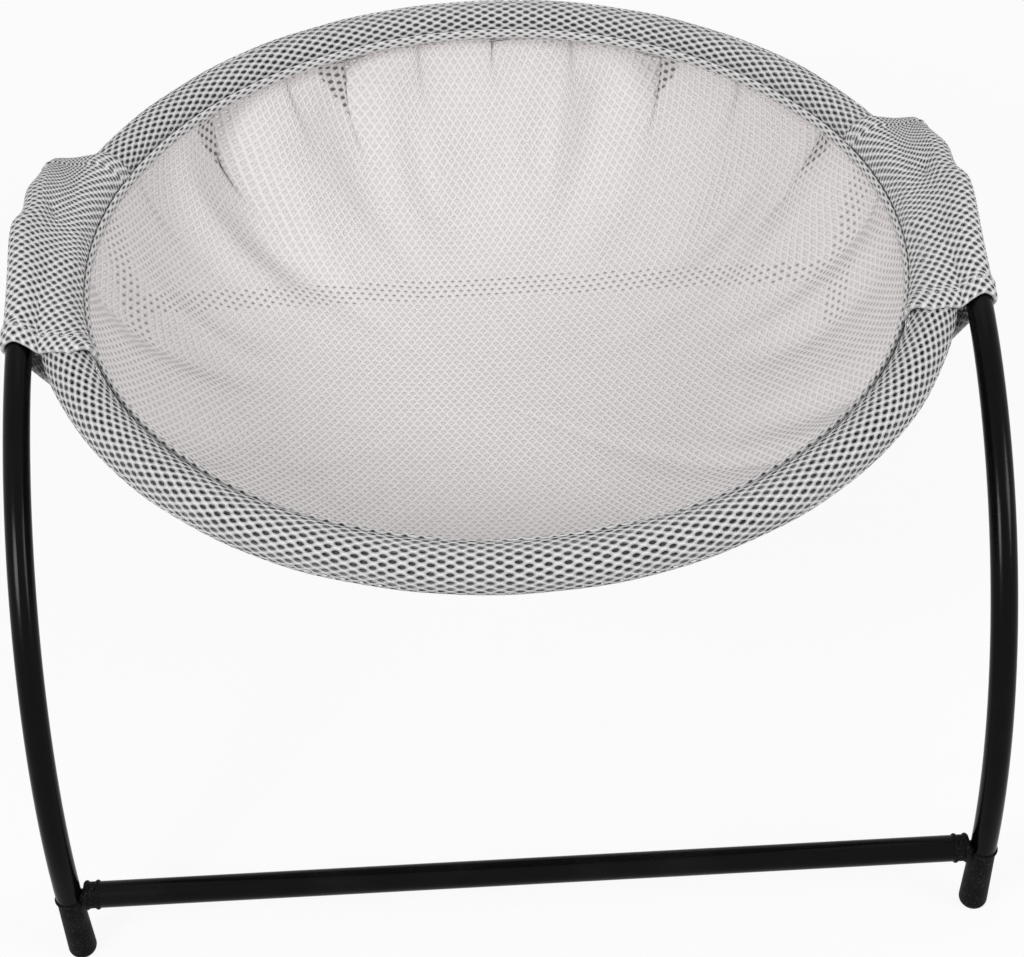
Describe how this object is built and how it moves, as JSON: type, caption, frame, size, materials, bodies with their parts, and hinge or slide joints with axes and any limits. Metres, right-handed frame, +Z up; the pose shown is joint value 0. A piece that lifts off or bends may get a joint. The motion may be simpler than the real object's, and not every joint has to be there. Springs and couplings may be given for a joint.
{
  "type": "cat hammock",
  "caption": "Free-standing cat hammock: a mesh bowl in a padded ring, hung by mesh sleeves from bent-tube arches that are joined by straight bars and stand on plastic feet.",
  "frame": {"origin": "on the floor under the middle of the ring", "axes": "+Z up, +X to the right along the bars, +Y to the rear, so -Y is the front; the arches stand left and right"},
  "size_m": [0.4526, 0.44, 0.2469],
  "materials": {
    "frame_steel": "glossy black powder coat on steel tube",
    "foot_plastic": "fine matt black moulding",
    "ring_steel": "plain drawn steel tube, hidden in the ring",
    "foam": "soft dark closed-cell foam tube, which shows only through the cover's holes",
    "cover_mesh": "light grey knitted spacer mesh with small oval holes",
    "bowl_mesh": "pale, finer, half see-through knitted mesh"
  },
  "bodies": {
    "frame": {"left_arch": "frame_steel", "right_arch": "frame_steel", "front_bar": "frame_steel", "rear_bar": "frame_steel", "front_left_foot": "foot_plastic", "front_right_foot": "foot_plastic", "rear_left_foot": "foot_plastic", "rear_right_foot": "foot_plastic", "front_left_bush": "foot_plastic", "front_right_bush": "foot_plastic", "rear_left_bush": "foot_plastic", "rear_right_bush": "foot_plastic"},
    "bed": {"ring_tube_front": "ring_steel", "ring_tube_rear": "ring_steel", "ring_plug_left": "foot_plastic", "ring_plug_right": "foot_plastic", "foam_front": "foam", "foam_rear": "foam", "ring_cover": "cover_mesh", "rim_seam": "cover_mesh", "bowl": "bowl_mesh", "left_sleeve": "cover_mesh", "right_sleeve": "cover_mesh"}
  },
  "joints": [
    {"name": "bed_rock", "type": "hinge", "parent": "frame", "child": "bed", "pos_m": [0, 0, 0.02701], "axis": [1, 0, 0], "range_deg": [-6, 6]}
  ]
}
